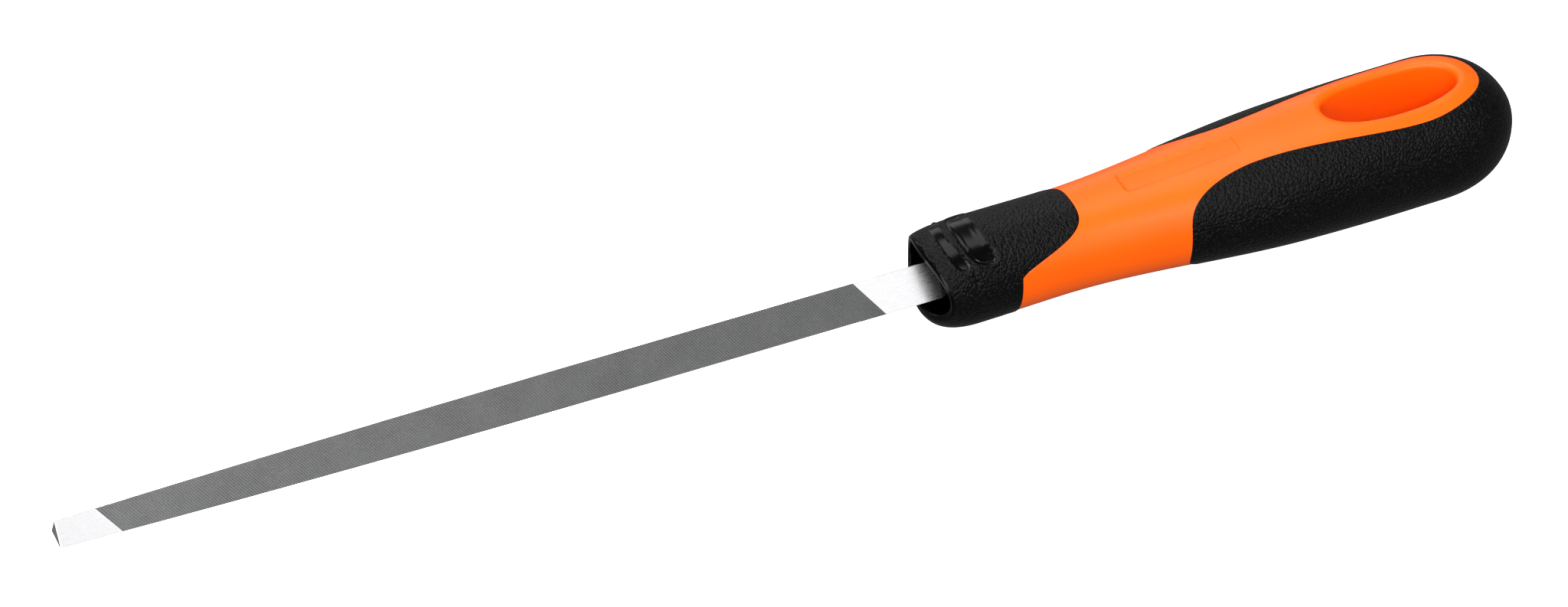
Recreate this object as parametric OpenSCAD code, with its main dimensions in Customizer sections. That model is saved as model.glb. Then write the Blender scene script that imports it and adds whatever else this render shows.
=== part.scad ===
// Tapered three-square file in a two-component handle.
// The file's axis lies along X with its tip at -X. The hanging hole runs along Z.
// Inside this source, x counts from the tip and z from the file's axis; place() moves all of it
// so that the tool lies on z = 0 with its length and width centred on the origin.

/* [File] */
// Length of the blade, from the tip to the heel's shoulder
blade_len = 153.2; // [140:0.1:154]
// Side of the triangular section over the parallel length
heel_side = 6.85; // [5.5:0.05:7.0]
// Side of the triangular section at the tip
tip_side = 4.7; // [3:0.1:5]
// Length over which the section grows to its full size
taper_len = 115; // [90:1:130]
// Length of the shoulder that joins the heel to the tang
shoulder_len = 2.3; // [2:0.1:6]
// Length of the tang behind the shoulder
tang_len = 48; // [40:1:56]
// Side of the tang's triangular section at its root
tang_root = 5.0; // [4:0.1:5.4]
// Side of the tang's triangular section at its point
tang_point = 1.6; // [1.2:0.1:2.4]
// Clearance on each side of the tang in its socket
tang_gap = 0.06; // [0.04:0.01:0.1]

/* [Handle] */
// Distance from the file's tip to the collar's front rim
collar_x = 151.4; // [150:0.1:152]
// Length of the handle, from the rim to the butt
handle_len = 110.3; // [106:0.1:114]
// Half width and half height of the collar
collar_r = 8.85; // [8.4:0.05:9.2]
// Half width of the waist
waist_w = 8.85; // [8.2:0.05:9]
// Half height of the waist
waist_h = 8.6; // [8.2:0.05:9]
// Half width of the belly
belly_w = 12.6; // [12:0.1:13.2]
// Half height of the belly
belly_h = 11.8; // [11.2:0.1:12.4]
// Rise of the handle's centre line from the rim to the butt
centre_rise = 2.2; // [1:0.1:3.4]
// Squareness of the handle's section: 2 is an ellipse, more is squarer
section_power = 2.2; // [2:0.05:2.6]
// Length of the rounded butt
butt_len = 16.5; // [13:0.5:20]

/* [Collar mouth] */
// Half width of the mouth
mouth_w = 7.85; // [7:0.05:8]
// Half height of the mouth
mouth_h = 5.3; // [4.6:0.1:5.5]
// Depth of the mouth's recess
mouth_depth = 5.5; // [3:0.1:6]
// Width of the rim around the mouth
rim_w = 0.8; // [0.6:0.1:1]

/* [Hanging hole] */
// Length of the hole along the handle
hole_len = 25.4; // [22:0.1:27]
// Width of the hole
hole_w = 10.2; // [9:0.1:11]
// Distance from the butt to the hole's centre
hole_from_butt = 23.3; // [21:0.1:25]

/* [Grips] */
// Thickness of the soft grips
grip_t = 2.0; // [1.6:0.1:2.4]
// Distance from the rim to the front grip's rear edge on the flanks
front_grip_len = 14.2; // [12:0.1:18]
// Length of the front grip's tongue along the back of the handle
tongue_len = 12.6; // [8:0.1:16]
// Distance from the rim to the rear grip's front edge
rear_grip_from = 44.4; // [40:0.1:48]
// Half width of the bare panel between the flanks at its neck
panel_neck = 5.3; // [4.6:0.1:6]
// Half width of the bare panel beside the hole
panel_wide = 8.2; // [7.6:0.1:8.8]

/* [Label pocket] */
// Length of the shallow pocket on the back of the handle
pocket_len = 21.5; // [18:0.5:23]
// Width of the pocket
pocket_w = 4.6; // [4:0.1:5]
// Depth of the pocket
pocket_t = 0.35; // [0.2:0.05:0.5]

/* [Hidden] */

HALF_RING = 14;       // points round one side of a handle section
flat_angle = 13;      // half the angle of the flat that the handle lies on, and of its twin on the back
ROUND_ANGLES = [0 : 12 : 348]; // directions of an oval outline's corners
SLICE = 0.02;         // thickness of one section in a chain of hulls
FAR = 30;             // reach of a cutting shape beyond the handle's section
OVER = 5;             // how far a cutting shape runs past the face that it opens
nose_len = 7.2;       // length over which the collar's front rounds in to the rim
mouth_rise = 0.35;    // height of the mouth's centre above the file's axis
collar_drop = 0.58;   // height of the file's axis above the collar's centre line
taper_power = 2.5;    // how late the blade's taper sets in: 1 is an even taper
butt_power = 2.35;    // fullness of the butt: 2 is a true ellipse
butt_wall = 2.6;      // thickness of the soft grip at the very end of the butt
hole_power = 2.3;     // squareness of the hole's outline
least_half = 0.3;     // smallest half width or height of the core under the grips
tongue_to = 78;       // angle from the handle's back at which the tongue's edge is straight again
tongue_power = 2.1;   // how full the tongue is: more is squarer
zone_core = 3;        // radius inside which the front grip's cutting shape closes to a cone
corner_len = 14.2;    // length of the bare panel's rounded front corners
panel_power = 2.1;    // fullness of the bare panel's rounded end
panel_wide_past = 2.6; // distance behind the hole's centre of the bare panel's widest place
panel_end_wall = 6.7; // distance from the bare panel's end to the butt

handle_end = collar_x + handle_len;
nose_end = collar_x + nose_len;
neck_x = collar_x + 8.6;      // where the collar starts to narrow
waist_w_x = collar_x + 22;    // narrowest place, seen from above
waist_h_x = collar_x + 25.6;  // lowest place, seen from the side
belly_w_x = collar_x + 67.6;  // widest place, seen from above
belly_h_x = collar_x + 86.6;  // highest place, seen from the side
butt_from = handle_end - butt_len;
hole_x = handle_end - hole_from_butt;
pocket_x = collar_x + 36.1;
tang_from = blade_len + shoulder_len;
tang_end = tang_from + tang_len;
front_edge = collar_x + front_grip_len;
rear_edge = collar_x + rear_grip_from;
panel_neck_x = rear_edge + corner_len;
panel_wide_x = hole_x + panel_wide_past;
panel_end = handle_end - panel_end_wall;

// 0 before a, 1 after b, and a smooth step between them
function ease(x, a, b) = let (t = min(max((x - a) / (b - a), 0), 1)) t * t * (3 - 2 * t);
// How far the rounded butt has closed in at x: 1 is open, 0 is the very end
function butt(x) = let (t = min(max((x - butt_from) / butt_len, 0), 0.9995)) sqrt(1 - pow(t, butt_power));
// How far the nose has opened at x: 0 at the rim, 1 on the full collar
function nose(x) = let (t = min(max((nose_end - x) / nose_len, 0), 1)) sqrt(1 - t * t);
function mix(a, b, k) = a + (b - a) * k;
function body_w(x) = collar_r + (waist_w - collar_r) * ease(x, neck_x, waist_w_x)
    + (belly_w - waist_w) * ease(x, waist_w_x, belly_w_x);
function body_h(x) = collar_r + (waist_h - collar_r) * ease(x, neck_x, waist_h_x)
    + (belly_h - waist_h) * ease(x, waist_h_x, belly_h_x);
function half_w(x) = mix(mouth_w + rim_w, body_w(x), nose(x)) * butt(x);
function half_h(x) = mix(mouth_h + rim_w, body_h(x), nose(x)) * butt(x);
function body_c(x) = -collar_drop + centre_rise * (x - collar_x) / handle_len;
function centre(x) = mix(mouth_rise, body_c(x), nose(x));
function signed_pow(v, p) = sign(v) * pow(abs(v), p);

// Distances from the tip at which the handle's sections are drawn
nose_stations = [for (a = [90, 60, 35, 15]) nose_end - nose_len * sin(a)];
body_stations = [nose_end, 166, 172, 178, 185, 192, 199, 206, 213, 221, 229, 237];
butt_stations = [for (a = [0, 22, 42, 58, 71, 81, 87]) butt_from + butt_len * sin(a)];
stations = concat(nose_stations, body_stations, butt_stations);
// Angles of the points round a section, from the lower flat up one side and down the other
side_angles = [for (i = [0 : HALF_RING - 1]) (90 - flat_angle) * (2 * i / (HALF_RING - 1) - 1)];
ring_angles = concat(side_angles, [for (a = side_angles) 180 + a]);
// One section of the handle as points, whose flats lie at its full height
function ring_points(w, h) = let (p = 2 / section_power, full = pow(cos(flat_angle), p))
    [for (a = ring_angles) [w * signed_pow(cos(a), p), h * signed_pow(sin(a), p) / full]];
// Height of the file's axis when the tool lies on its lowest flat
axis_h = max([for (x = stations) half_h(x) - centre(x)]);

// Puts a shape drawn along the file's axis into the part's own frame
module place() translate([-handle_end / 2, 0, axis_h]) children();

// An equilateral triangle with one corner up and its centre on the axis
module three_square(side) polygon([for (a = [90, 210, 330]) side / sqrt(3) * [cos(a), sin(a)]]);
module triangle_slice(x, side) translate([x, 0, 0]) rotate([90, 0, 90])
    linear_extrude(SLICE) three_square(side);
function blade_side(x) = heel_side - (heel_side - tip_side) * pow(max(1 - x / taper_len, 0), taper_power);

module file_blade() color("silver") place() {
    taper = taper_len * [0, 0.12, 0.3, 0.54, 1];
    for (i = [0 : len(taper) - 2]) hull() {
        triangle_slice(taper[i], blade_side(taper[i]));
        triangle_slice(taper[i + 1], blade_side(taper[i + 1]));
    }
    translate([taper_len, 0, 0]) rotate([90, 0, 90])
        linear_extrude(blade_len - taper_len) three_square(heel_side);
    hull() {
        triangle_slice(blade_len - SLICE, heel_side);
        triangle_slice(tang_from, tang_root);
    }
    tang(0, 0);
}

// The tang, or with a gap and some extra length, the socket that it slides in
module tang(gap, extra) hull() {
    grow = gap * 2 * sqrt(3);
    triangle_slice(tang_from - extra, tang_root + grow);
    triangle_slice(tang_end + extra, tang_point + grow);
}

// One section of the handle, drawn inset by the grips' thickness where it lies under them
module section(x, inset) translate([x, 0, centre(x)]) rotate([90, 0, 90]) linear_extrude(SLICE)
    polygon(ring_points(max(half_w(x) - inset, least_half), max(half_h(x) - inset, least_half)));

module outer_body() for (i = [0 : len(stations) - 2]) hull() {
    section(stations[i], 0);
    section(stations[i + 1], 0);
}

// The core under the grips, which stops short of the rim and of the butt
inner_stations = [for (x = stations) if (x > collar_x + mouth_depth && x < handle_end - butt_wall) x];
module inner_body() {
    first = collar_x + mouth_depth;
    hull() {
        section(first, grip_t);
        section(inner_stations[0], grip_t);
    }
    for (i = [0 : len(inner_stations) - 2]) hull() {
        section(inner_stations[i], grip_t);
        section(inner_stations[i + 1], grip_t);
    }
}

// Where the front grip ends, by the angle from the handle's back
function front_end(a) = front_edge + tongue_len * (1 - ease(pow(abs(a) / tongue_to, tongue_power), 0, 1));
// Everything in front of the front grip's rear edge
module front_zone() {
    n = 36;
    edge = [for (i = [0 : n - 1]) let (a = 360 * i / n) [front_end(min(a, 360 - a)), -sin(a), cos(a)]];
    pts = concat(
        [for (e = edge) [collar_x - OVER, FAR * e[1], FAR * e[2]]],
        [for (e = edge) [e[0], FAR * e[1], FAR * e[2]]],
        [for (e = edge) [e[0], zone_core * e[1], zone_core * e[2]]],
        [[front_edge, 0, 0]]);
    sides = [for (k = [0, 1], i = [0 : n - 1]) let (j = (i + 1) % n)
        [n * k + i, n * k + n + i, n * k + n + j, n * k + j]];
    fan = [for (i = [0 : n - 1]) [3 * n, 2 * n + (i + 1) % n, 2 * n + i]];
    polyhedron(pts, concat(sides, [[for (i = [0 : n - 1]) i]], fan));
}

// One side of the bare panel, seen along Z: an elliptic corner from the handle's side to the neck,
// an eased flare to the widest place beside the hole, and half of a rounded end
panel_corner = [for (a = [0 : 10 : 90]) let (x = panel_neck_x - corner_len * cos(a))
    [x, mix(body_w(x), panel_neck, sin(a))]];
panel_flare = [for (k = [1 : 7]) let (x = mix(panel_neck_x, panel_wide_x, k / 7))
    [x, mix(panel_neck, panel_wide, ease(x, panel_neck_x, panel_wide_x))]];
panel_close = [for (a = [15 : 15 : 90]) let (p = 2 / panel_power)
    [mix(panel_wide_x, panel_end, signed_pow(sin(a), p)), panel_wide * signed_pow(cos(a), p)]];
panel_side = concat([[rear_edge - OVER, body_w(rear_edge)]], panel_corner, panel_flare, panel_close);
// The bare panel, open to the bare waist in front of it
module panel() translate([0, 0, -FAR]) linear_extrude(2 * FAR) polygon(concat(
    panel_side, [for (k = [len(panel_side) - 2 : -1 : 0]) [panel_side[k][0], -panel_side[k][1]]]));

module rear_zone() difference() {
    translate([rear_edge, -FAR, -FAR]) cube([handle_end, 2 * FAR, 2 * FAR]);
    panel();
}

module mouth() translate([collar_x - 1, 0, mouth_rise]) rotate([90, 0, 90])
    linear_extrude(mouth_depth + 1) polygon([for (a = ROUND_ANGLES)
        [mouth_w * cos(a), mouth_h * sin(a)]]);

module hanging_hole() translate([hole_x, 0, -FAR]) linear_extrude(2 * FAR)
    polygon([for (a = ROUND_ANGLES) let (p = 2 / hole_power)
        [hole_len / 2 * signed_pow(cos(a), p), hole_w / 2 * signed_pow(sin(a), p)]]);

// A shallow pocket that follows the slope of the handle's back
module label_pocket() {
    last = pocket_x + pocket_len;
    drop = centre(pocket_x) + half_h(pocket_x) - pocket_t;
    slope = atan((centre(last) + half_h(last) - drop - pocket_t) / pocket_len);
    translate([pocket_x, -pocket_w / 2, drop]) rotate([0, -slope, 0]) cube([pocket_len, pocket_w, OVER]);
}

module handle_core() color("darkorange") place() difference() {
    union() {
        inner_body();
        difference() {
            outer_body();
            front_zone();
            rear_zone();
        }
    }
    hanging_hole();
    tang(tang_gap, 0.6);
    label_pocket();
}

module front_grip() color("dimgray") place() difference() {
    intersection() {
        outer_body();
        front_zone();
    }
    inner_body();
    mouth();
}

module rear_grip() color("dimgray") place() difference() {
    intersection() {
        outer_body();
        rear_zone();
    }
    inner_body();
}

file_blade();
handle_core();
front_grip();
rear_grip();
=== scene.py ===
import math

import bpy
import numpy as np
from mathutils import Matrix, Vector


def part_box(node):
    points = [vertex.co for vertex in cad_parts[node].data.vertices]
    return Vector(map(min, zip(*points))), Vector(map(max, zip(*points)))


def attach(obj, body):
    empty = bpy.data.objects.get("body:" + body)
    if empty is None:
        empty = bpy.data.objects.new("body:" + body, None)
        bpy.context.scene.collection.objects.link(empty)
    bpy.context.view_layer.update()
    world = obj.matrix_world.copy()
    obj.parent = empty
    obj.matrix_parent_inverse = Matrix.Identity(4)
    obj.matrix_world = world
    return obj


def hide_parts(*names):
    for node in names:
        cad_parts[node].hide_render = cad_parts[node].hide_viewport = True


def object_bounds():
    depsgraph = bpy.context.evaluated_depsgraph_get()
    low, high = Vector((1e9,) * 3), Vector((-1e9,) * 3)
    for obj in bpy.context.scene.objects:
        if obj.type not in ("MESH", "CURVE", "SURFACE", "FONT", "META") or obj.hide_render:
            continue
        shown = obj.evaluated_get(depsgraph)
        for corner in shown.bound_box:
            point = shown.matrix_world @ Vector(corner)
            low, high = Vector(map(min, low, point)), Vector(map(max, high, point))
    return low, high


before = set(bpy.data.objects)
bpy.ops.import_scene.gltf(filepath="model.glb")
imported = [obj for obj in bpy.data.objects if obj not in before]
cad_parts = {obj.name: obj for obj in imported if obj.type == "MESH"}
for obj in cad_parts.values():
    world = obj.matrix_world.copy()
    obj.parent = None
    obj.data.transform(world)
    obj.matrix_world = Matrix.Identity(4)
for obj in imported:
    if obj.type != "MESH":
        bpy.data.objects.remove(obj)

bl_info = {
    "name": "Three-square file",
    "version": (1, 0, 0),
    "blender": (4, 5, 0),
    "location": "View3D > Sidebar > File",
    "description": "A tapered saw file with its teeth, in a moulded handle with two soft grips",
    "category": "Add Mesh",
}

MM = 0.001
CAD_LOW, CAD_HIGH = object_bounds()
BLADE_LOW, BLADE_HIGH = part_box("file_blade")
COLLAR_LOW, COLLAR_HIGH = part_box("front_grip")
CORE_LOW, CORE_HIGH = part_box("handle_core")
REAR_LOW, REAR_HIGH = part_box("rear_grip")
# Every shape below is drawn with x counted from the tip and z from the file's axis, and then put here.
# The blade's section is an equilateral triangle, whose centre is a third of the way up it.
TIP_X = BLADE_LOW.x
AXIS_Z = BLADE_LOW.z + (BLADE_HIGH.z - BLADE_LOW.z) / 3
RIM_X = COLLAR_LOW.x - TIP_X
HANDLE_END = CAD_HIGH.x - TIP_X
TANG_END = BLADE_HIGH.x - TIP_X
# Places along the handle where its form changes, from the collar's rim.
NECK_X = RIM_X + 8.6 * MM
WAIST_W_X = RIM_X + 22 * MM
WAIST_H_X = RIM_X + 25.6 * MM
BELLY_W_X = RIM_X + 67.6 * MM
BELLY_H_X = RIM_X + 86.6 * MM
BADGE_X = RIM_X + 7.2 * MM
POCKET_X = RIM_X + 36.1 * MM
# Powers of the outlines: 2 is an ellipse, and more is squarer.
HOLE_POWER = 2.3
PANEL_POWER = 2.1
TONGUE_POWER = 2.1
# How late the blade's taper sets in: 1 is an even taper.
TAPER_POWER = 2.5
# The angle from the handle's back, in degrees, at which the tongue's edge is straight again.
TONGUE_TO = 78
# Length of one degree round the collar.
ARC = 0.154 * MM
# Clearances: between the grips' lining and the core, and round the tang in its socket.
LINING_GAP = 0.1 * MM
SOCKET_GAP = 0.2 * MM
# How far the core's front stays behind the floor of the collar's mouth.
CORE_SETBACK = 0.75 * MM
# Spacing of the grid that the core is made on.
GRID_STEP = 0.34 * MM


class FileSizes(bpy.types.PropertyGroup):
    """Sizes of the file blade."""

    heel_side: bpy.props.FloatProperty(
        name="Heel side", description="Side of the triangular section at the heel",
        default=(BLADE_HIGH.z - BLADE_LOW.z) * 2 / math.sqrt(3), unit="LENGTH")
    tip_side: bpy.props.FloatProperty(
        name="Tip side", description="Side of the triangular section at the tip",
        default=4.7 * MM, unit="LENGTH")
    taper: bpy.props.FloatProperty(
        name="Taper", description="Length over which the section grows to its full size",
        default=115 * MM, unit="LENGTH")
    blade: bpy.props.FloatProperty(
        name="Blade", description="Length from the tip to the shoulder",
        default=153.2 * MM, unit="LENGTH")
    shoulder: bpy.props.FloatProperty(
        name="Shoulder", description="Length of the shoulder before the tang",
        default=2.3 * MM, unit="LENGTH")
    tang_root: bpy.props.FloatProperty(
        name="Tang root", description="Side of the tang's section at its root",
        default=5 * MM, unit="LENGTH")
    tang_point: bpy.props.FloatProperty(
        name="Tang point", description="Side of the tang's section at its point",
        default=1.6 * MM, unit="LENGTH")
    bevel: bpy.props.FloatProperty(
        name="Corner", description="How far the blunted corners reach into each face",
        default=0.14 * MM, unit="LENGTH")
    bare_tip: bpy.props.FloatProperty(
        name="Bare tip", description="Length of the smooth tip before the first tooth",
        default=8.6 * MM, unit="LENGTH")
    cut_end: bpy.props.FloatProperty(
        name="Cut end", description="Distance from the tip to the last tooth",
        default=140.6 * MM, unit="LENGTH")
    pitch: bpy.props.FloatProperty(
        name="Pitch", description="Distance from tooth to tooth", default=0.468 * MM, unit="LENGTH")
    depth: bpy.props.FloatProperty(
        name="Depth", description="Depth of the gullets", default=0.13 * MM, unit="LENGTH")
    slant: bpy.props.FloatProperty(
        name="Slant", description="Angle of the teeth to the blade's length",
        default=math.radians(54.5), subtype="ANGLE")


class HandleSizes(bpy.types.PropertyGroup):
    """Sizes of the handle that the core and both grips share."""

    collar: bpy.props.FloatProperty(
        name="Collar", description="Half width and half height of the collar",
        default=8.85 * MM, unit="LENGTH")
    waist_w: bpy.props.FloatProperty(
        name="Waist width", description="Half width of the waist", default=8.85 * MM, unit="LENGTH")
    waist_h: bpy.props.FloatProperty(
        name="Waist height", description="Half height of the waist", default=8.6 * MM, unit="LENGTH")
    belly_w: bpy.props.FloatProperty(
        name="Belly width", description="Half width of the belly", default=12.6 * MM, unit="LENGTH")
    belly_h: bpy.props.FloatProperty(
        name="Belly height", description="Half height of the belly", default=11.8 * MM, unit="LENGTH")
    rise: bpy.props.FloatProperty(
        name="Rise", description="Rise of the centre line from the rim to the butt",
        default=2.2 * MM, unit="LENGTH")
    drop: bpy.props.FloatProperty(
        name="Drop", description="Height of the file's axis above the collar's centre line",
        default=0.58 * MM, unit="LENGTH")
    power: bpy.props.FloatProperty(
        name="Squareness", description="Power of the section's outline: 2 is an ellipse", default=2.2)
    nose: bpy.props.FloatProperty(
        name="Nose", description="Length over which the collar rounds in to the rim",
        default=7.2 * MM, unit="LENGTH")
    butt: bpy.props.FloatProperty(
        name="Butt", description="Length of the rounded butt", default=16.5 * MM, unit="LENGTH")
    butt_power: bpy.props.FloatProperty(
        name="Butt fullness", description="Power of the butt's outline: 2 is an ellipse", default=2.35)
    hole_x: bpy.props.FloatProperty(
        name="Hole centre", description="Distance from the tip to the hanging hole's centre",
        default=HANDLE_END - 23.3 * MM, unit="LENGTH")
    hole_len: bpy.props.FloatProperty(
        name="Hole length", description="Length of the hanging hole", default=25.4 * MM, unit="LENGTH")
    hole_w: bpy.props.FloatProperty(
        name="Hole width", description="Width of the hanging hole", default=10.2 * MM, unit="LENGTH")
    hole_rim: bpy.props.FloatProperty(
        name="Hole rim", description="Radius that rounds the hole's rim", default=1.5 * MM, unit="LENGTH")
    pocket_depth: bpy.props.FloatProperty(
        name="Pocket depth", description="Depth of the blank label pocket",
        default=0.38 * MM, unit="LENGTH")


class GripSizes(bpy.types.PropertyGroup):
    """Sizes of the two soft grips and of the bare panel between them."""

    proud: bpy.props.FloatProperty(
        name="Proud", description="How far the grips stand above the core",
        default=0.15 * MM, unit="LENGTH")
    thickness: bpy.props.FloatProperty(
        name="Thickness", description="Thickness of the grips",
        default=1.7 * MM, unit="LENGTH")
    edge: bpy.props.FloatProperty(
        name="Edge", description="Radius that rounds the grips' edges",
        default=0.4 * MM, unit="LENGTH")
    front_edge: bpy.props.FloatProperty(
        name="Front grip's end", description="Distance from the tip to the front grip's rear edge",
        default=165.6 * MM, unit="LENGTH")
    tongue: bpy.props.FloatProperty(
        name="Tongue", description="Length of the front grip's tongue on the handle's back",
        default=12.6 * MM, unit="LENGTH")
    rear_edge: bpy.props.FloatProperty(
        name="Rear grip's start", description="Distance from the tip to the rear grip's front edge",
        default=REAR_LOW.x - TIP_X, unit="LENGTH")
    corner: bpy.props.FloatProperty(
        name="Panel corner", description="Length of the bare panel's rounded front corners",
        default=14.2 * MM, unit="LENGTH")
    neck: bpy.props.FloatProperty(
        name="Panel neck", description="Half width of the bare panel at its neck",
        default=5.3 * MM, unit="LENGTH")
    wide: bpy.props.FloatProperty(
        name="Panel width", description="Half width of the bare panel beside the hole",
        default=8.2 * MM, unit="LENGTH")
    wide_x: bpy.props.FloatProperty(
        name="Panel's widest place", description="Distance from the tip to the panel's widest place",
        default=241 * MM, unit="LENGTH")
    end_len: bpy.props.FloatProperty(
        name="Panel end", description="Length of the bare panel's rounded end",
        default=13.95 * MM, unit="LENGTH")
    mouth_w: bpy.props.FloatProperty(
        name="Mouth width", description="Half width of the collar's mouth",
        default=7.87 * MM, unit="LENGTH")
    mouth_h: bpy.props.FloatProperty(
        name="Mouth height", description="Half height of the collar's mouth",
        default=5.3 * MM, unit="LENGTH")
    mouth_depth: bpy.props.FloatProperty(
        name="Mouth depth", description="Depth of the collar's mouth",
        default=5.5 * MM, unit="LENGTH")
    socket: bpy.props.FloatProperty(
        name="Socket", description="Radius of the hole that the tang goes in",
        default=3.2 * MM, unit="LENGTH")
    mouth_rise: bpy.props.FloatProperty(
        name="Mouth rise", description="Height of the mouth's centre above the file's axis",
        default=0.4 * MM, unit="LENGTH")
    lip: bpy.props.FloatProperty(
        name="Lip", description="Width of the lip round the mouth", default=0.75 * MM, unit="LENGTH")
    saddle: bpy.props.FloatProperty(
        name="Saddle", description="How far the rim curves along the handle, back and forward",
        default=1 * MM, unit="LENGTH")
    fillet: bpy.props.FloatProperty(
        name="Fillet", description="Radius between the mouth's floor and its wall",
        default=0.6 * MM, unit="LENGTH")
    soften: bpy.props.FloatProperty(
        name="Lip rounding", description="How far the lip's inner edge is rounded",
        default=0.3 * MM, unit="LENGTH")


class Finishes(bpy.types.PropertyGroup):
    """Colours of the finishes."""

    plastic: bpy.props.FloatVectorProperty(
        name="Plastic", description="Colour of the core's plastic", subtype="COLOR",
        default=(0.98, 0.125, 0.0))
    rubber: bpy.props.FloatVectorProperty(
        name="Rubber", description="Colour of the soft grips", subtype="COLOR",
        default=(0.0004, 0.0004, 0.0004))
    steel: bpy.props.FloatVectorProperty(
        name="Steel", description="Colour of the ground steel", subtype="COLOR",
        default=(0.69, 0.69, 0.7))
    # the painted shade colour that the gullets between the teeth darken to
    shaded_cut_steel: bpy.props.FloatVectorProperty(
        name="Cut steel", description="Colour of the steel between the teeth", subtype="COLOR",
        default=(0.13, 0.13, 0.133))
    floor: bpy.props.FloatVectorProperty(
        name="Floor", description="Colour of the floor", subtype="COLOR", default=(0.9, 0.9, 0.9))


# Shared arithmetic


def ease(x, a, b):
    """0 before a, 1 after b, and between them 3t^2 - 2t^3 with t the share of the way."""
    t = np.clip((x - a) / (b - a), 0, 1)
    return t * t * (3 - 2 * t)


def mix(a, b, k):
    """The point a share k of the way from a to b."""
    return a + (b - a) * k


def signed_pow(v, p):
    """|v| to the power p, with v's sign."""
    return np.sign(v) * np.abs(v) ** p


def put(points):
    """Points drawn from the tip and the file's axis, in the frame."""
    return points + np.array([TIP_X, 0, AXIS_Z])


def mesh_piece(name, points, faces, masks, smooth, material):
    """An object from points, a list of face arrays with 3 or 4 corners each, and point masks by name."""
    mesh = bpy.data.meshes.new(name)
    mesh.vertices.add(len(points))
    mesh.vertices.foreach_set("co", put(points).astype(np.float32).ravel())
    corners = np.concatenate([f.ravel() for f in faces])
    sizes = np.concatenate([np.full(len(f), f.shape[1]) for f in faces])
    mesh.loops.add(len(corners))
    mesh.loops.foreach_set("vertex_index", corners.astype(np.int32))
    mesh.polygons.add(len(sizes))
    mesh.polygons.foreach_set("loop_start", (np.cumsum(sizes) - sizes).astype(np.int32))
    mesh.polygons.foreach_set("use_smooth", np.full(len(sizes), smooth))
    for mask, values in masks.items():
        mesh.attributes.new(mask, "FLOAT", "POINT").data.foreach_set("value", values.astype(np.float32))
    mesh.update(calc_edges=True)
    if mesh.validate():
        raise RuntimeError(f"{name} had faces that don't make a surface")
    mesh.materials.append(material)
    piece = bpy.data.objects.new(name, mesh)
    bpy.context.scene.collection.objects.link(piece)
    return piece


def grid_faces(rows, columns, wrap_rows=False, wrap_columns=False):
    """The quads of a grid of points stored row by row, outward where row x column points outward."""
    r = np.arange(rows if wrap_rows else rows - 1)[:, None]
    c = np.arange(columns if wrap_columns else columns - 1)[None, :]
    r1, c1 = (r + 1) % rows, (c + 1) % columns
    return np.stack(np.broadcast_arrays(
        r * columns + c, r1 * columns + c, r1 * columns + c1, r * columns + c1), -1).reshape(-1, 4)


# The handle's form


def body_size(x, s):
    """Half width and half height at x: the collar, eased into the waist and then into the belly."""
    w = (s.collar + (s.waist_w - s.collar) * ease(x, NECK_X, WAIST_W_X)
         + (s.belly_w - s.waist_w) * ease(x, WAIST_W_X, BELLY_W_X))
    h = (s.collar + (s.waist_h - s.collar) * ease(x, NECK_X, WAIST_H_X)
         + (s.belly_h - s.waist_h) * ease(x, WAIST_H_X, BELLY_H_X))
    return w, h


def body_centre(x, s):
    """Height of the handle's centre line, which rises evenly to the butt."""
    return -s.drop + s.rise * (x - RIM_X) / (HANDLE_END - RIM_X)


def body_level(x, y, z, s):
    """0 on the handle's form and less inside: rho^2 + t^q - 1, where rho is the superellipse radius
    (|y/w|^n + |z/h|^n)^(1/n), t the share of the way along the butt and q the butt's power."""
    w, h = body_size(x, s)
    t = np.clip((x - HANDLE_END + s.butt) / s.butt, 0, None)
    rho = (np.abs(y / w) ** s.power + np.abs((z - body_centre(x, s)) / h) ** s.power) ** (1 / s.power)
    return rho ** 2 + t ** s.butt_power - 1


def slope(level, x, y, z, step=0.02 * MM):
    """The gradient of a function of place, from differences over a small step."""
    return np.stack([
        level(x + step, y, z) - level(x - step, y, z),
        level(x, y + step, z) - level(x, y - step, z),
        level(x, y, z + step) - level(x, y, z - step)]) / (2 * step)


def body_distance(x, y, z, s):
    """About how far a point is outside the handle's form: its level over the level's slope."""
    def level(a, b, c):
        return body_level(a, b, c, s)
    steep = np.sqrt((slope(level, x, y, z) ** 2).sum(0))
    least_steep = 1 / (20 * MM)
    return level(x, y, z) / np.maximum(steep, least_steep)


def panel_half(x, g):
    """Half width of the bare panel between its neck and its widest place."""
    return g.neck + (g.wide - g.neck) * ease(x, g.rear_edge + g.corner - 1 * MM, g.wide_x)


def panel_inside(x, y, s, g):
    """How far a place, seen along Z, lies inside the bare panel or the waist: less than 0 is grip.
    The corners are quarter ellipses, then come the eased sides and a half superellipse."""
    w, _ = body_size(x, s)
    corner_end = g.rear_edge + g.corner
    reach = w - g.neck
    ahead = np.clip((corner_end - x) / g.corner, 0, None)
    beside = np.clip((w - np.abs(y)) / reach, 0, None)
    corner = (np.hypot(ahead, beside) - 1) * reach
    behind = np.clip((x - g.wide_x) / g.end_len, 0, None)
    n = PANEL_POWER
    end = (1 - (behind ** n + np.abs(y / g.wide) ** n) ** (1 / n)) * g.wide
    return np.where(x < corner_end, corner, np.where(x < g.wide_x, panel_half(x, g) - np.abs(y), end))


def front_end(angle, g):
    """Where the front grip ends, by the angle in degrees from the handle's back."""
    return g.front_edge + g.tongue * (1 - ease((np.abs(angle) / TONGUE_TO) ** TONGUE_POWER, 0, 1))


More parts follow.
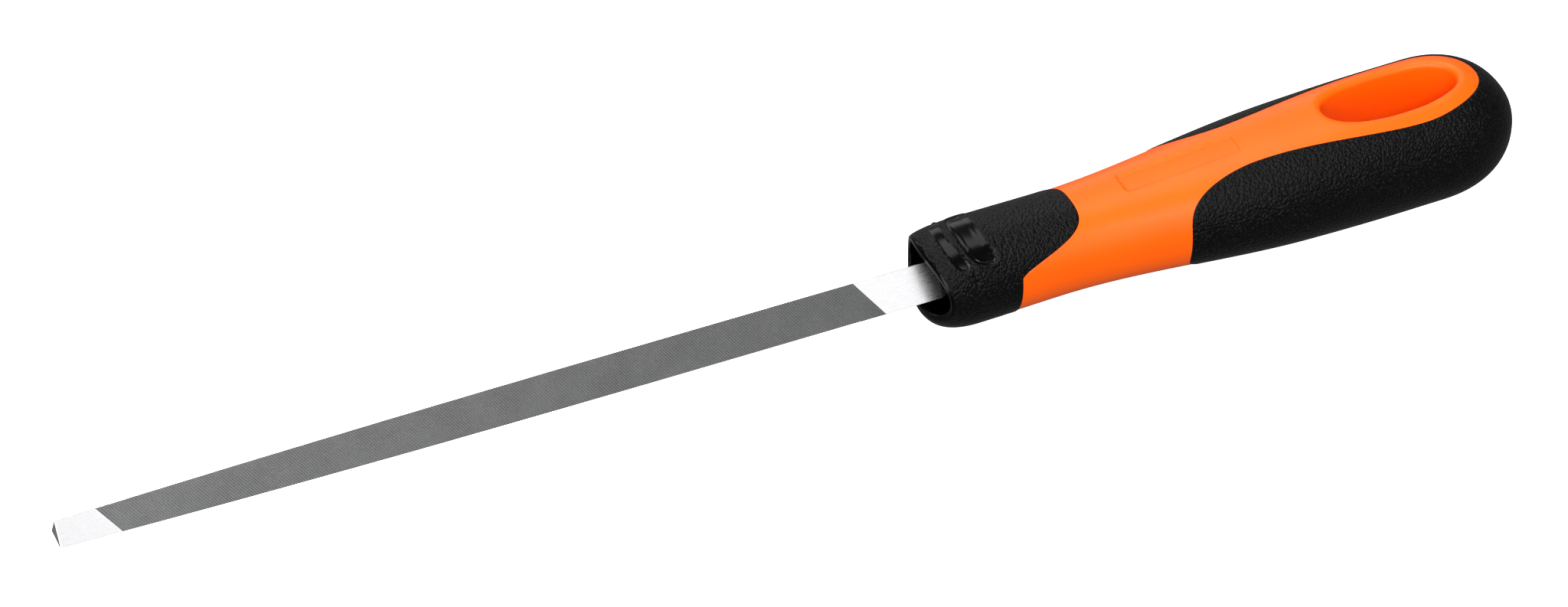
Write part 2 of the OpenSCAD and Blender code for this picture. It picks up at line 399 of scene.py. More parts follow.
def hole_distance(x, y, s):
    """About how far a place, seen along Z, lies outside the hole's superellipse."""
    a, b, n = s.hole_len / 2, s.hole_w / 2, HOLE_POWER
    u, v = np.abs(x - s.hole_x) / a, np.abs(y) / b
    rho = np.maximum((u ** n + v ** n) ** (1 / n), 1e-6)
    steep = np.hypot((u / rho) ** (n - 1) / a, (v / rho) ** (n - 1) / b)
    return (rho - 1) / np.maximum(steep, 1 / a)


# The file


def blade_side(x, s):
    """Side of the triangle at x: a late taper to the full size, then the shoulder and the tang."""
    taper = s.heel_side - (s.heel_side - s.tip_side) * np.clip(1 - x / s.taper, 0, 1) ** TAPER_POWER
    root = s.blade + s.shoulder
    behind = np.interp(x, [s.blade, root, TANG_END], [s.heel_side, s.tang_root, s.tang_point])
    return np.where(x < s.blade, taper, behind)


def zip_rows(a, b, xa, xb):
    """Triangles between two rows of points whose x values differ: each step along one row makes a
    triangle with the point that the other row has reached."""
    reached_b = np.searchsorted(xb[1:], xa[1:], side="left")
    reached_a = np.searchsorted(xa[1:], xb[1:], side="right")
    return np.concatenate([
        np.stack([a[:-1], a[1:], b[reached_b]], -1),
        np.stack([a[reached_a], b[1:], b[:-1]], -1)])


def blade_columns(s):
    """Where the columns of points cross each face's middle, and the depth of the cut at each.
    A tooth is a crest, a long back towards the heel, a root and a steep front."""
    teeth = int(round((s.cut_end - s.bare_tip) / s.pitch))
    back = np.array([0.0, 0.3, 0.62, 0.82])
    drop = np.array([0.0, 0.42, 0.9, 1.0])
    cut = (s.bare_tip + s.pitch * (np.arange(teeth)[:, None] + back[None, :])).ravel()
    sunk = np.tile(drop, teeth) * s.depth
    tip = np.concatenate([[0, 0.05, 0.14, 0.28, 0.5], np.linspace(1, s.bare_tip / MM - 0.5, 8)]) * MM
    heel = np.linspace(s.bare_tip + teeth * s.pitch, s.blade, 12)
    tang = np.linspace(s.blade + 0.5 * MM, TANG_END - 0.5 * MM, 60)
    last = TANG_END - np.array([0.25, 0.08, 0]) * MM
    columns = np.concatenate([tip, cut, heel, tang, last])
    depth = np.concatenate([np.zeros(len(tip)), sunk, np.zeros(len(columns) - len(tip) - len(sunk))])
    return columns, depth, len(tip), len(tip) + len(sunk)


def blade_surface(s):
    """Three strips of slanted columns, one a face, joined at the corners by bands and closed at both
    ends. A point is the face's middle at its column, moved up the face by t and along x by
    -t cot(slant). The slant fades out towards the square ends."""
    columns, depth, first, last = blade_columns(s)
    from_tip = np.clip((columns - 1 * MM) / (6.5 * MM), 0, 1)
    from_heel = np.clip((s.blade - 0.5 * MM - columns) / (8 * MM), 0, 1)
    lean = (1 / math.tan(s.slant)) * from_tip * from_heel
    across = np.linspace(-1, 1, 9)
    up = np.zeros((len(columns), len(across)))
    for _ in range(4):
        x = columns[:, None] - lean[:, None] * up
        side = blade_side(x, s)
        up = across[None, :] * (side / 2 - s.bevel)
    rounding = np.array([0.3, 0.12, 0.03]) * MM
    inset = np.zeros(len(columns))
    inset[:3] = rounding
    inset[-3:] = rounding[::-1]
    out = side / (2 * math.sqrt(3)) - (depth + inset)[:, None]
    up = up * (1 - inset[:, None] / (side / 2))
    points, faces, rows = [], [], []
    for turn in (0, -120, -240):
        a = math.radians(150 + turn)
        b = math.radians(60 + turn)
        y = out * math.cos(a) + up * math.cos(b)
        z = out * math.sin(a) + up * math.sin(b)
        strip = np.stack([x, y, z], -1)
        start = sum(len(p) for p in points)
        faces.append(grid_faces(*x.shape) + start)
        rows.append(start + np.arange(x.size).reshape(x.shape))
        points.append(strip.reshape(-1, 3))
    for near, far in ((0, 1), (1, 2), (2, 0)):
        faces.append(zip_rows(rows[near][:, -1], rows[far][:, 0], x[:, -1], x[:, 0]))
    total = sum(len(p) for p in points)
    points.append(np.array([[x[0, 0], 0, 0], [TANG_END, 0, 0]]))
    tip_ring = np.concatenate([r[0] for r in rows])
    tang_ring = np.concatenate([r[-1] for r in rows])
    faces.append(np.stack([np.full(len(tip_ring), total), tip_ring, np.roll(tip_ring, -1)], -1))
    faces.append(np.stack([np.full(len(tang_ring), total + 1), np.roll(tang_ring, -1), tang_ring], -1))
    is_cut = np.zeros(x.shape)
    is_cut[first:last] = 1
    cut = np.concatenate([is_cut.ravel()] * 3 + [np.zeros(2)])
    # the gullets' depth as a share, which the steel's painted shade follows
    sunk = np.broadcast_to((depth / s.depth)[:, None], x.shape)
    gullet = np.concatenate([sunk.ravel()] * 3 + [np.zeros(2)])
    return np.concatenate(points), faces, {"cut": cut, "gullet": gullet}


# The handle's core


def round_both(a, b, r):
    """Distance to what lies inside both a and b, with the corner between them rounded by r."""
    both = np.hypot(np.clip(a + r, 0, None), np.clip(b + r, 0, None))
    return np.minimum(np.maximum(a, b), -r) + both


def label_pocket(x, y):
    """1 inside the rounded rectangle of the label pocket, eased to 0 over its edge."""
    long, half, corner = 10.75 * MM, 2.3 * MM, 0.7 * MM
    middle = POCKET_X + long
    dx = np.clip(np.abs(x - middle) - long + corner, 0, None)
    dy = np.clip(np.abs(y) - half + corner, 0, None)
    return 1 - ease(np.hypot(dx, dy) - corner, -0.22 * MM, 0.08 * MM)


def core_distance(x, y, z, s, g):
    """About how far a point is outside the core: the handle's form, a little lower than the grips and
    much lower under them, less the label pocket, the hanging hole and the tang's socket."""
    c = body_centre(x, s)
    angle = np.degrees(np.arctan2(y, z - c))
    wall = (0.7 * MM, 1.2 * MM)
    under_front = ease(front_end(angle, g) - x, *wall)
    under_rear = ease(-panel_inside(x, y, s, g), *wall)
    under = np.maximum(under_front, under_rear)
    pocket = s.pocket_depth * label_pocket(x, y) * (z > c)
    inset = mix(g.proud, g.thickness + LINING_GAP, under) + pocket
    d = body_distance(x, y, z, s) + inset
    d = round_both(d, -hole_distance(x, y, s), s.hole_rim)
    d = round_both(d, RIM_X + g.mouth_depth + CORE_SETBACK - x, g.edge)
    root_x, root, point = tang_root()
    side = mix(root, point, (x - root_x) / (TANG_END - root_x)) + SOCKET_GAP
    apothem = side / (2 * math.sqrt(3))
    slanted = z / 2 + np.abs(y) * math.sqrt(3) / 2
    socket_end = TANG_END + 0.6 * MM
    socket = np.maximum(np.maximum(-z, slanted) - apothem, x - socket_end)
    return np.maximum(d, -socket)


def tang_root():
    """Where the tang starts, its side there and its side at the point."""
    f = bpy.context.scene.file_sizes
    return f.blade + f.shoulder, f.tang_root, f.tang_point


def surface_net(field, low, step):
    """A closed mesh where a field of distances on a grid changes sign: one point in each mixed cell, at
    the mean of the crossings on its edges, and one quad round each edge that crosses."""
    cells = tuple(n - 1 for n in field.shape)
    total, count = np.zeros(cells + (3,)), np.zeros(cells)
    inside = field < 0

    def part(array, axis, along, b, c):
        cut = [None] * 3
        cut[axis] = slice(along, array.shape[axis] - 1 + along)
        for other, offset in (((axis + 1) % 3, b), ((axis + 2) % 3, c)):
            cut[other] = slice(offset, array.shape[other] - 1 + offset)
        return array[tuple(cut)]

    for axis in range(3):
        for b in (0, 1):
            for c in (0, 1):
                start, stop = part(field, axis, 0, b, c), part(field, axis, 1, b, c)
                crosses = part(inside, axis, 0, b, c) != part(inside, axis, 1, b, c)
                share = start / np.where(crosses, start - stop, 1)
                total[..., axis] += np.where(crosses, share, 0)
                total[..., (axis + 1) % 3] += np.where(crosses, b, 0)
                total[..., (axis + 2) % 3] += np.where(crosses, c, 0)
                count += crosses
    mixed = count > 0
    index = np.full(cells, -1)
    index[mixed] = np.arange(mixed.sum())
    points = low + (np.argwhere(mixed) + total[mixed] / count[mixed][:, None]) * step
    faces = []
    for axis in range(3):
        b, c = (axis + 1) % 3, (axis + 2) % 3
        ahead = np.zeros(3, int)
        ahead[axis] = 1
        inner = tuple(slice(None, -1) if a == axis else slice(1, -1) for a in range(3))
        here = inside[inner]
        there = inside[tuple(slice(1, None) if a == axis else slice(1, -1) for a in range(3))]
        for leaving in (True, False):
            at = np.argwhere((here == leaving) & (there != leaving))
            at[:, b] += 1
            at[:, c] += 1
            ring = []
            for db, dc in ((-1, -1), (0, -1), (0, 0), (-1, 0)):
                cell = at.copy()
                cell[:, b] += db
                cell[:, c] += dc
                ring.append(index[tuple(cell.T)])
            faces.append(np.stack(ring if leaving else ring[::-1], -1))
    return points, faces


def core_surface(s, g):
    """A surface net of the core's distance, whose points are then moved down the slope onto it."""
    step, margin = GRID_STEP, 2.3 * GRID_STEP
    low = np.array([CORE_LOW.x - TIP_X, CORE_LOW.y, CORE_LOW.z - AXIS_Z]) - margin
    high = np.array([CORE_HIGH.x - TIP_X, CORE_HIGH.y, CORE_HIGH.z - AXIS_Z]) + margin
    axes = [np.arange(a, b, step) for a, b in zip(low, high)]
    x, y, z = np.meshgrid(*axes, indexing="ij")
    field = core_distance(x, y, z, s, g)
    points, faces = surface_net(field, low, step)

    def level(a, b, c):
        return core_distance(a, b, c, s, g)

    for _ in range(4):
        at = points.T
        grade = slope(level, *at)
        size = np.maximum((grade ** 2).sum(0), 0.2)
        move = level(*at) / size * grade
        reach = np.maximum(np.sqrt((move ** 2).sum(0)) / (0.25 * step), 1)
        points = points - (move / reach).T
    return points, faces, {}


# The front grip


def ring(w, h, c, power, phi):
    """Points of one section: y = w cos(phi)^(2/n), z = c + h sin(phi)^(2/n)."""
    return w * signed_pow(np.cos(phi), 2 / power), c + h * signed_pow(np.sin(phi), 2 / power)


def strap_distance(x, off):
    """How far a place is outside the smooth band behind the lip: a curved band with round ends.
    off is the angle from the handle's back in degrees. Both edges are parabolas in it."""
    a = np.abs(off)
    reach = 40.5
    left = (1.9 + 0.0007 * a ** 2) * MM
    right = (3.7 + 0.02 * a + 0.0006 * a ** 2) * MM
    middle, half = RIM_X + (left + right) / 2, (right - left) / 2
    past = np.clip(a - reach, 0, None) * ARC
    return np.hypot(x - middle, past) - half


def badge_distance(x, off):
    """How far a place is outside the raised badge: a pill across the collar that bends a little."""
    centre, reach, half_width = 6, 28.4, 2.3 * MM
    middle = BADGE_X + 0.00072 * MM * off ** 2
    past = np.clip(np.abs(off - centre) - reach, 0, None) * ARC
    return np.hypot(x - middle, past) - half_width


def dot(x, off, at_x, at_off, radius):
    """1 at a place and 0 a radius away from it, on either flank."""
    far = np.hypot(x - RIM_X - at_x, (np.abs(off) - at_off) * ARC)
    return 1 - ease(far, 0, radius)


def front_grip_surface(s, g):
    """Rings round the file's axis along a closed profile: the mouth's floor, its wall, the lip, the nose,
    the outside to the tongue's edge, the edge, and the inside back to the floor."""
    phi = np.linspace(0, 2 * math.pi, 400, endpoint=False)
    off = (np.degrees(phi) - 90 + 180) % 360 - 180
    rim = RIM_X + g.saddle * np.cos(2 * phi)
    floor_x = RIM_X + g.mouth_depth
    nose_end = RIM_X + s.nose
    lip_w, lip_h, mouth_c = g.mouth_w + g.lip, g.mouth_h + g.lip, g.mouth_rise
    soft_w, soft_h = 0.25 * MM, 0.25 * MM
    wall_share = 0.86
    end_x = front_end(off, g)
    rows, outside = [], []

    def add(x, y, z, shown=0.0):
        rows.append(np.stack(np.broadcast_arrays(x, y, z), -1))
        outside.append(shown)

    # the floor and the wall of the mouth, with a fillet between them
    hole_y, hole_z = ring(g.socket, g.socket, 0, 2, phi)
    wall_y, wall_z = ring(g.mouth_w, g.mouth_h, mouth_c, 2, phi)
    for k in np.linspace(0, wall_share, 8):
        add(floor_x, mix(hole_y, wall_y, k), mix(hole_z, wall_z, k))
    for a in np.radians([25, 50, 75]):
        k = mix(wall_share, 1, math.sin(a))
        add(floor_x - g.fillet * (1 - math.cos(a)), mix(hole_y, wall_y, k), mix(hole_z, wall_z, k))
    for k in np.linspace(0, 1, 12):
        add(mix(floor_x - g.fillet, rim + g.soften, k), wall_y, wall_z)
    # the lip: a rounded inner edge, then a face that leans back to the nose
    for a in np.radians([20, 40, 60, 80]):
        grown = 1 - math.cos(a)
        y, z = ring(g.mouth_w + soft_w * grown, g.mouth_h + soft_h * grown, mouth_c, 2, phi)
        add(rim + g.soften * (1 - math.sin(a)), y, z)
    for k in np.linspace(0.1, 0.9, 5):
        y, z = ring(mix(g.mouth_w + soft_w, lip_w, k), mix(g.mouth_h + soft_h, lip_h, k), mouth_c, 2, phi)
        add(rim + 0.03 * MM * math.sin(k * math.pi), y, z)
    # the nose, a quarter ellipse from the lip to the full collar
    for q in np.radians(np.linspace(0, 90, 46)):
        k = math.sin(q)
        x = rim + (nose_end - rim) * (1 - math.cos(q))
        w, h = body_size(x, s)
        y, z = ring(mix(lip_w, w, k), mix(lip_h, h, k), mix(mouth_c, body_centre(x, s), k),
                    2 + (s.power - 2) * k, phi)
        add(x, y, z, 1.0)
    # the outside, with its points gathered at the edge
    def outer(x, inset):
        w, h = body_size(x, s)
        return ring(w - inset, h - inset, body_centre(x, s), s.power, phi)

    for k in np.sin(np.linspace(0, math.pi / 2, 60)[1:]):
        x = mix(nose_end, end_x - g.edge, k)
        add(x, *outer(x, 0), 1.0)
    for a in np.radians([15, 30, 45, 60, 75, 90]):
        x = end_x - g.edge * (1 - math.sin(a))
        add(x, *outer(x, g.edge * (1 - math.cos(a))), 1.0)
    inner_x = floor_x + g.fillet
    for k in np.linspace(0, 1, 14):
        x = mix(end_x, inner_x, k)
        add(x, *outer(x, g.thickness))
    inner_y, inner_z = outer(inner_x, g.thickness)
    for k in np.linspace(0.15, 1, 6):
        add(inner_x, mix(inner_y, hole_y, k), mix(inner_z, hole_z, k))
    points = np.array(rows)
    shown = np.array(outside)[:, None]
    # small forms stand out along the surface's own normal
    along = np.roll(points, -1, 0) - np.roll(points, 1, 0)
    around = np.roll(points, -1, 1) - np.roll(points, 1, 1)
    normal = np.cross(along, around)
    normal = normal / np.maximum(np.linalg.norm(normal, axis=-1, keepdims=True), 1e-12)
    x = points[..., 0]
    lip = ease(x - rim[None, :], 0.6 * MM, 0.3 * MM)
    strap = 1 - ease(strap_distance(x, off[None, :]), -0.2 * MM, 0.05 * MM)
    badge_far = badge_distance(x, off[None, :])
    badge = 1 - ease(badge_far, -0.25 * MM, 0.0)
    groove = np.exp(-((badge_far - 0.3 * MM) / (0.17 * MM)) ** 2)
    bump = dot(x, off[None, :], 5.9 * MM, 64, 0.7 * MM)
    dimple = dot(x, off[None, :], 5.0 * MM, 53.5, 0.75 * MM)
    inner_line = np.exp(-((badge_far + 0.75 * MM) / (0.14 * MM)) ** 2)
    height = (0.22 * strap + 0.24 * badge - 0.12 * inner_line - 0.2 * groove
              + 0.25 * bump - 0.3 * dimple) * MM * shown
    points = points + normal * height[..., None]
    hidden = np.broadcast_to(1 - shown, x.shape)
    smooth = np.clip(np.maximum.reduce([strap, badge, hidden, lip * shown, bump]), 0, 1)
    faces = grid_faces(*x.shape, wrap_rows=True, wrap_columns=True)
    return points.reshape(-1, 3), [faces], {"grain": (1 - smooth).ravel()}


# The rear grip


def rear_outline(s, g):
    """The bare panel's edge and the handle's side, seen along Z, matched point by point: one flank from
    its front corner, round the butt, and back along the other flank."""
    gamma = np.linspace(0, math.pi / 2, 30)
    corner_end = g.rear_edge + g.corner
    x1 = corner_end - g.corner * np.cos(gamma)
    w1, _ = body_size(x1, s)
    y1 = w1 - (w1 - g.neck) * np.sin(gamma)
    x2 = np.linspace(corner_end, g.wide_x, 75)[1:]
    y2 = panel_half(x2, g)
    beta = np.linspace(math.pi / 2, 0, 70)[1:]
    x3 = g.wide_x + g.end_len * np.cos(beta) ** (2 / PANEL_POWER)
    y3 = g.wide * np.sin(beta) ** (2 / PANEL_POWER)
    butt_x = HANDLE_END - s.butt
    stretch = (butt_x - g.rear_edge) / (g.wide_x - g.rear_edge)
    side_x = g.rear_edge + (np.concatenate([x1, x2]) - g.rear_edge) * stretch
    side_w, _ = body_size(side_x, s)
    end_x = butt_x + s.butt * np.cos(beta) ** (2 / s.butt_power)
    end_w, _ = body_size(end_x, s)
    edge = np.stack([np.concatenate([x1, x2, x3]), -np.concatenate([y1, y2, y3])], -1)
    side = np.stack([np.concatenate([side_x, end_x]), -np.concatenate([side_w, end_w * np.sin(beta)])], -1)
    flip = np.array([1, -1])
    return np.concatenate([edge, edge[-2::-1] * flip]), np.concatenate([side, side[-2::-1] * flip])


def rear_grip_surface(s, g):
    """Loops across the grip, one for each point of its outline: from the panel's edge over the side to
    the edge on the underside, and back inside it. A point lies a share m of the way from edge to side,
    seen along Z, at the height that the handle's form has there."""
    edge, side = rear_outline(s, g)
    share = np.sin(np.linspace(0, math.pi / 2, 52))
    share = np.concatenate([[0, 0.004, 0.012, 0.022], share[1:]])
    share = np.concatenate([share, share[-2::-1]])
    upper = np.concatenate([np.ones(len(share) // 2 + 1), -np.ones(len(share) // 2)])
    plan = edge[:, None, :] + (side - edge)[:, None, :] * share[None, :, None]
    x, y = plan[..., 0], plan[..., 1]
    w, h = body_size(x, s)
    t = np.clip((x - HANDLE_END + s.butt) / s.butt, 0, 1)
    narrow = np.sqrt(np.maximum(1 - t ** s.butt_power, 1e-9))
    level = np.clip(1 - np.abs(y / (w * narrow)) ** s.power, 0, None) ** (1 / s.power)
    z = body_centre(x, s) + upper[None, :] * h * narrow * level

    def form(a, b, c):
        return body_level(a, b, c, s)

    normal = np.moveaxis(slope(form, x, y, z), 0, -1)
    normal = normal / np.linalg.norm(normal, axis=-1, keepdims=True)
    inside = np.clip(-panel_inside(x, y, s, g), 0, None)
    near = np.clip(g.edge - inside, 0, g.edge)
    rounding = g.edge - np.sqrt(g.edge ** 2 - near ** 2)
    outer = np.stack([x, y, z], -1)
    skin = outer - normal * rounding[..., None]
    lining = (outer - normal * g.thickness)[:, ::-1][:, ::3]
    loops = np.concatenate([skin, lining], 1)
    count, size = loops.shape[:2]
    faces = [grid_faces(count, size, wrap_columns=True)[:, ::-1]]
    caps = loops[[0, -1]].mean(1)
    points = np.concatenate([loops.reshape(-1, 3), caps])
    first = np.arange(size)
    last = first + (count - 1) * size
    centre = count * size
    faces.append(np.stack([np.full(size, centre), first, np.roll(first, -1)], -1))
    faces.append(np.stack([np.full(size, centre + 1), np.roll(last, -1), last], -1))
    return points, faces, {"grain": np.ones(len(points))}


# Materials


def new_material(name):
    """A material with nodes, its node list, its link maker and its shader."""
    material = bpy.data.materials.new(name)
    material.use_nodes = True
    tree = material.node_tree
    return material, tree.nodes, tree.links.new, tree.nodes["Principled BSDF"]


def noise_node(nodes, link, scale, detail, coordinates):
    """A noise texture with so many features to a metre."""
    noise = nodes.new("ShaderNodeTexNoise")
    noise.inputs["Scale"].default_value = scale
    noise.inputs["Detail"].default_value = detail
    link(coordinates, noise.inputs["Vector"])
    return noise.outputs["Fac"]


def range_node(nodes, link, value, low, high, to_low, to_high):
    """Maps a value from one range to another."""
    node = nodes.new("ShaderNodeMapRange")
    link(value, node.inputs["Value"])
    for socket, number in (("From Min", low), ("From Max", high), ("To Min", to_low), ("To Max", to_high)):
        node.inputs[socket].default_value = number
    return node.outputs["Result"]


def colour_node(nodes, link, value, low, high):
    """Mixes two colours by a value from 0 to 1."""
    node = nodes.new("ShaderNodeMix")
    node.data_type = "RGBA"
    link(value, node.inputs[0])
    node.inputs[6].default_value = (*low, 1)
    node.inputs[7].default_value = (*high, 1)
    return node.outputs[2]


def bump_node(nodes, link, height, strength, distance, below=None):
    """A bump from a height, on top of another bump if one is given."""
    node = nodes.new("ShaderNodeBump")
    node.inputs["Strength"].default_value = strength
    node.inputs["Distance"].default_value = distance
    link(height, node.inputs["Height"])
    if below:
        link(below, node.inputs["Normal"])
    return node.outputs["Normal"]


def math_node(nodes, link, operation, a, b):
    """One arithmetic step between two values, either of which may be a number."""
    node = nodes.new("ShaderNodeMath")
    node.operation = operation
    for socket, value in zip(node.inputs, (a, b)):
        if isinstance(value, (int, float)):
            socket.default_value = value
        else:
            link(value, socket)
    return node.outputs[0]


def mask_node(nodes, name):
    """The value of a point mask that the mesh carries."""
    node = nodes.new("ShaderNodeAttribute")
    node.attribute_name = name
    return node.outputs["Fac"]


def satin_plastic(colour):
    """Satin moulded plastic: faint clouds in its colour, and a very fine moulded texture."""
    material, nodes, link, shader = new_material("satin_plastic")
    place = nodes.new("ShaderNodeTexCoord").outputs["Object"]
    clouds = noise_node(nodes, link, 90, 2, place)
    deep = tuple(c * k for c, k in zip(colour, (0.97, 0.86, 1)))
    link(colour_node(nodes, link, clouds, deep, colour), shader.inputs["Base Color"])
    fine = noise_node(nodes, link, 2200, 3, place)
    link(range_node(nodes, link, fine, 0.3, 0.7, 0.36, 0.46), shader.inputs["Roughness"])
    link(bump_node(nodes, link, fine, 0.25, 0.03 * MM), shader.inputs["Normal"])
    shader.inputs["Specular IOR Level"].default_value = 0.25
    return material


def grained_rubber(colour):
    """Soft elastomer with a pebbled grain, which the smooth forms don't have. Its pebbles' crests are
    painted lighter, a painted highlight for the glint of light on the grain.
    """
    material, nodes, link, shader = new_material("grained_rubber")
    place = nodes.new("ShaderNodeTexCoord").outputs["Object"]
    grain = mask_node(nodes, "grain")
    pebbles = nodes.new("ShaderNodeTexVoronoi")
    pebbles.feature = "SMOOTH_F1"
    pebbles.inputs["Scale"].default_value = 1900
    pebbles.inputs["Smoothness"].default_value = 0.5
    link(place, pebbles.inputs["Vector"])
    uneven = noise_node(nodes, link, 3600, 2, place)
    height = math_node(nodes, link, "SUBTRACT", uneven, pebbles.outputs["Distance"])
    height = math_node(nodes, link, "MULTIPLY", height, grain)
    # painted highlight: the pebbles' crests are painted lighter than the rubber, for the glint of the
    # lights on the grain
    crest = range_node(nodes, link, height, 0.2, 0.5, 0, 1)
    light = tuple(c * 30 for c in colour)
    link(colour_node(nodes, link, crest, colour, light), shader.inputs["Base Color"])
    link(range_node(nodes, link, grain, 0, 1, 0.2, 0.33), shader.inputs["Roughness"])
    link(bump_node(nodes, link, height, 1.0, 0.2 * MM), shader.inputs["Normal"])
    shader.inputs["Specular IOR Level"].default_value = 0.13
    return material


def shaded_cut_steel(ground, cut):
    """Steel: bright and finely ground on the smooth lands, darker between the teeth with painted shade
    that deepens to the gullets' roots.
    """
    material, nodes, link, shader = new_material("shaded_cut_steel")
    place = nodes.new("ShaderNodeTexCoord").outputs["Object"]
    is_cut, gullet = mask_node(nodes, "cut"), mask_node(nodes, "gullet")
    stretch = nodes.new("ShaderNodeMapping")
    stretch.inputs["Scale"].default_value = (1, 14, 14)
    link(place, stretch.inputs["Vector"])
    grinding = noise_node(nodes, link, 700, 3, stretch.outputs["Vector"])
    patches = noise_node(nodes, link, 160, 2, place)
    # painted shade: the cut darkens with the gullets' depth, varied a little by random patches
    dark = math_node(nodes, link, "MULTIPLY", is_cut, range_node(nodes, link, gullet, 0, 1, 0, 1))
    shade = math_node(nodes, link, "MULTIPLY", dark, range_node(nodes, link, patches, 0.3, 0.7, 0.9, 1))
    link(colour_node(nodes, link, shade, ground, cut), shader.inputs["Base Color"])
    rough = range_node(nodes, link, grinding, 0.3, 0.7, 0.24, 0.34)
    rough = math_node(nodes, link, "ADD", rough, math_node(nodes, link, "MULTIPLY", is_cut, 0.12))
    link(rough, shader.inputs["Roughness"])
    link(bump_node(nodes, link, grinding, 0.05, 0.01 * MM), shader.inputs["Normal"])
    shader.inputs["Metallic"].default_value = 1.0
    return material


def plain_floor(colour):
    """A matt floor that glows a little, as a light table does."""
    material, nodes, link, shader = new_material("plain_floor")
    shader.inputs["Base Color"].default_value = (*colour, 1)
    shader.inputs["Roughness"].default_value = 0.8
    shader.inputs["Emission Color"].default_value = (1, 1, 1, 1)
    shader.inputs["Emission Strength"].default_value = 0.95
    return material


# Operators


def finish_piece(piece, body, node):
    """Every piece moves with a body and stands for a CAD node, whose part it hides."""
    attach(piece, body)
    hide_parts(node)


class FILE_OT_blade(bpy.types.Operator):
    """Make the file: three faces of slanted teeth, a smooth tip and heel, and the tang"""

    bl_idname = "filetool.blade"
    bl_label = "Make file blade"

    def execute(self, context):
        sizes, finish = context.scene.file_sizes, context.scene.finishes
        points, faces, masks = blade_surface(sizes)
        material = shaded_cut_steel(tuple(finish.steel), tuple(finish.shaded_cut_steel))
        piece = mesh_piece("saw_file", points, faces, masks, False, material)
        finish_piece(piece, "file", "file_blade")
        return {"FINISHED"}


class FILE_OT_core(bpy.types.Operator):
    """Make the handle's core, with its hanging hole, label pocket and socket"""

    bl_idname = "filetool.core"
    bl_label = "Make handle core"

    def execute(self, context):
        scene = context.scene
        points, faces, masks = core_surface(scene.handle_sizes, scene.grip_sizes)
        material = satin_plastic(tuple(scene.finishes.plastic))
        piece = mesh_piece("core_moulding", points, faces, masks, True, material)
        finish_piece(piece, "handle", "handle_core")
        return {"FINISHED"}


class FILE_OT_grips(bpy.types.Operator):
    """Make the two soft grips: the collar with its mouth, and the flanks that meet round the butt"""

    bl_idname = "filetool.grips"
    bl_label = "Make soft grips"

    def execute(self, context):
        scene = context.scene
        material = grained_rubber(tuple(scene.finishes.rubber))
        front = front_grip_surface(scene.handle_sizes, scene.grip_sizes)
        piece = mesh_piece("collar_grip", *front, True, material)
        finish_piece(piece, "handle", "front_grip")
        rear = rear_grip_surface(scene.handle_sizes, scene.grip_sizes)
        piece = mesh_piece("flank_grip", *rear, True, material)
        finish_piece(piece, "handle", "rear_grip")
        return {"FINISHED"}


def area_light(name, place, target, size, power):
    """A soft square light that faces a target."""
    light = bpy.data.lights.new(name, "AREA")
    light.shape = "RECTANGLE"
    light.size, light.size_y = size
    light.energy = power
    lamp = bpy.data.objects.new(name, light)
    lamp.location = place
    lamp.rotation_mode = "QUATERNION"
    lamp.rotation_quaternion = (Vector(target) - Vector(place)).to_track_quat("-Z", "Y")
    bpy.context.scene.collection.objects.link(lamp)
    return lamp


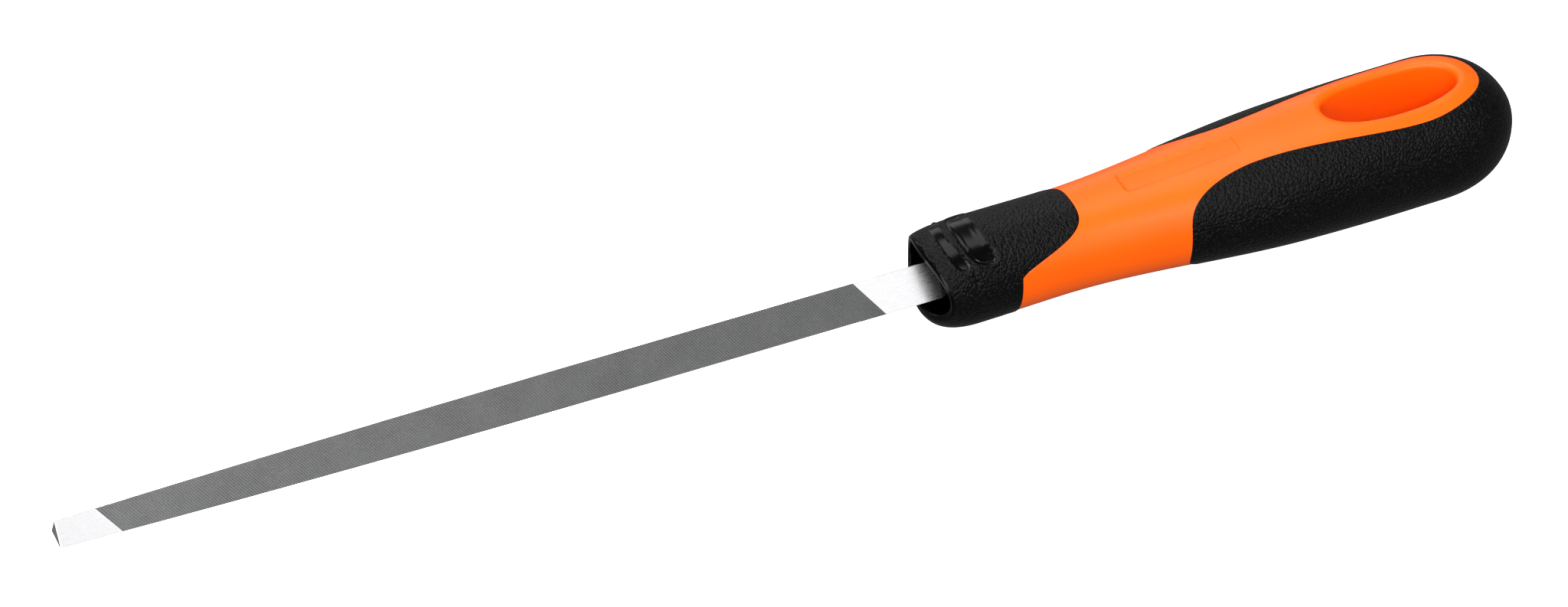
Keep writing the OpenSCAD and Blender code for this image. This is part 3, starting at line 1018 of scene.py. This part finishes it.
class FILE_OT_stage(bpy.types.Operator):
    """Make the floor, the soft lights and the camera"""

    bl_idname = "filetool.stage"
    bl_label = "Make stage"

    def execute(self, context):
        scene = context.scene
        scene.view_settings.view_transform = "Standard"
        mesh = bpy.data.meshes.new("floor")
        half, below = 3.0, -0.0005
        outline = ((-half, -half), (half, -half), (half, half), (-half, half))
        mesh.from_pydata([(x, y, below) for x, y in outline], [], [(0, 1, 2, 3)])
        mesh.materials.append(plain_floor(tuple(scene.finishes.floor)))
        floor = bpy.data.objects.new("floor", mesh)
        scene.collection.objects.link(floor)
        floor.visible_diffuse = False
        floor.visible_glossy = False
        world = bpy.data.worlds.new("studio")
        world.use_nodes = True
        world.node_tree.nodes["Background"].inputs["Color"].default_value = (1, 1, 1, 1)
        world.node_tree.nodes["Background"].inputs["Strength"].default_value = 0.2
        scene.world = world
        area_light("top_softbox", (-0.1, 0.25, 0.9), (0, 0, 0), (1.0, 0.7), 9.5)
        area_light("side_softbox", (-0.56, -0.8, 0.52), (0, 0, 0), (0.7, 0.7), 8.5)
        area_light("high_softbox", (0.0, -0.83, 0.88), (0, 0, 0), (0.32, 0.32), 7)
        area_light("front_softbox", (0.3, -0.9, 0.32), (0, 0, 0), (0.7, 0.4), 1.3)
        area_light("back_softbox", (0.1, 1.1, 0.35), (0, 0, 0), (1.4, 0.4), 3)
        azimuth, elevation = math.radians(-24.0), math.radians(40.7)
        back = Vector((math.sin(azimuth) * math.cos(elevation), -math.cos(azimuth) * math.cos(elevation),
                       math.sin(elevation)))
        target = Vector((-0.0039, 0.0025, 0.01212))
        lens = bpy.data.cameras.new("camera")
        lens.sensor_width = 36
        lens.lens = 122.5
        camera = bpy.data.objects.new("camera", lens)
        camera.location = target + back * 0.881
        camera.rotation_mode = "QUATERNION"
        camera.rotation_quaternion = (-back).to_track_quat("-Z", "Y")
        lens.clip_start, lens.clip_end = 0.01, 20
        scene.collection.objects.link(camera)
        scene.camera = camera
        return {"FINISHED"}


class FILE_PT_panel(bpy.types.Panel):
    """Lists the pieces in the sidebar"""

    bl_label = "Three-square file"
    bl_space_type = "VIEW_3D"
    bl_region_type = "UI"
    bl_category = "File"

    def draw(self, context):
        for operator in OPERATORS:
            self.layout.operator(operator.bl_idname)


GROUPS = {
    "file_sizes": FileSizes,
    "handle_sizes": HandleSizes,
    "grip_sizes": GripSizes,
    "finishes": Finishes,
}
OPERATORS = (FILE_OT_blade, FILE_OT_core, FILE_OT_grips, FILE_OT_stage)


def register():
    for cls in (*GROUPS.values(), *OPERATORS, FILE_PT_panel):
        bpy.utils.register_class(cls)
    for name, group in GROUPS.items():
        setattr(bpy.types.Scene, name, bpy.props.PointerProperty(type=group))


def unregister():
    for name in GROUPS:
        delattr(bpy.types.Scene, name)
    for cls in reversed((*GROUPS.values(), *OPERATORS, FILE_PT_panel)):
        bpy.utils.unregister_class(cls)


def main():
    register()
    bpy.ops.filetool.stage()
    bpy.ops.filetool.blade()
    bpy.ops.filetool.core()
    bpy.ops.filetool.grips()


if __name__ == "__main__":
    main()
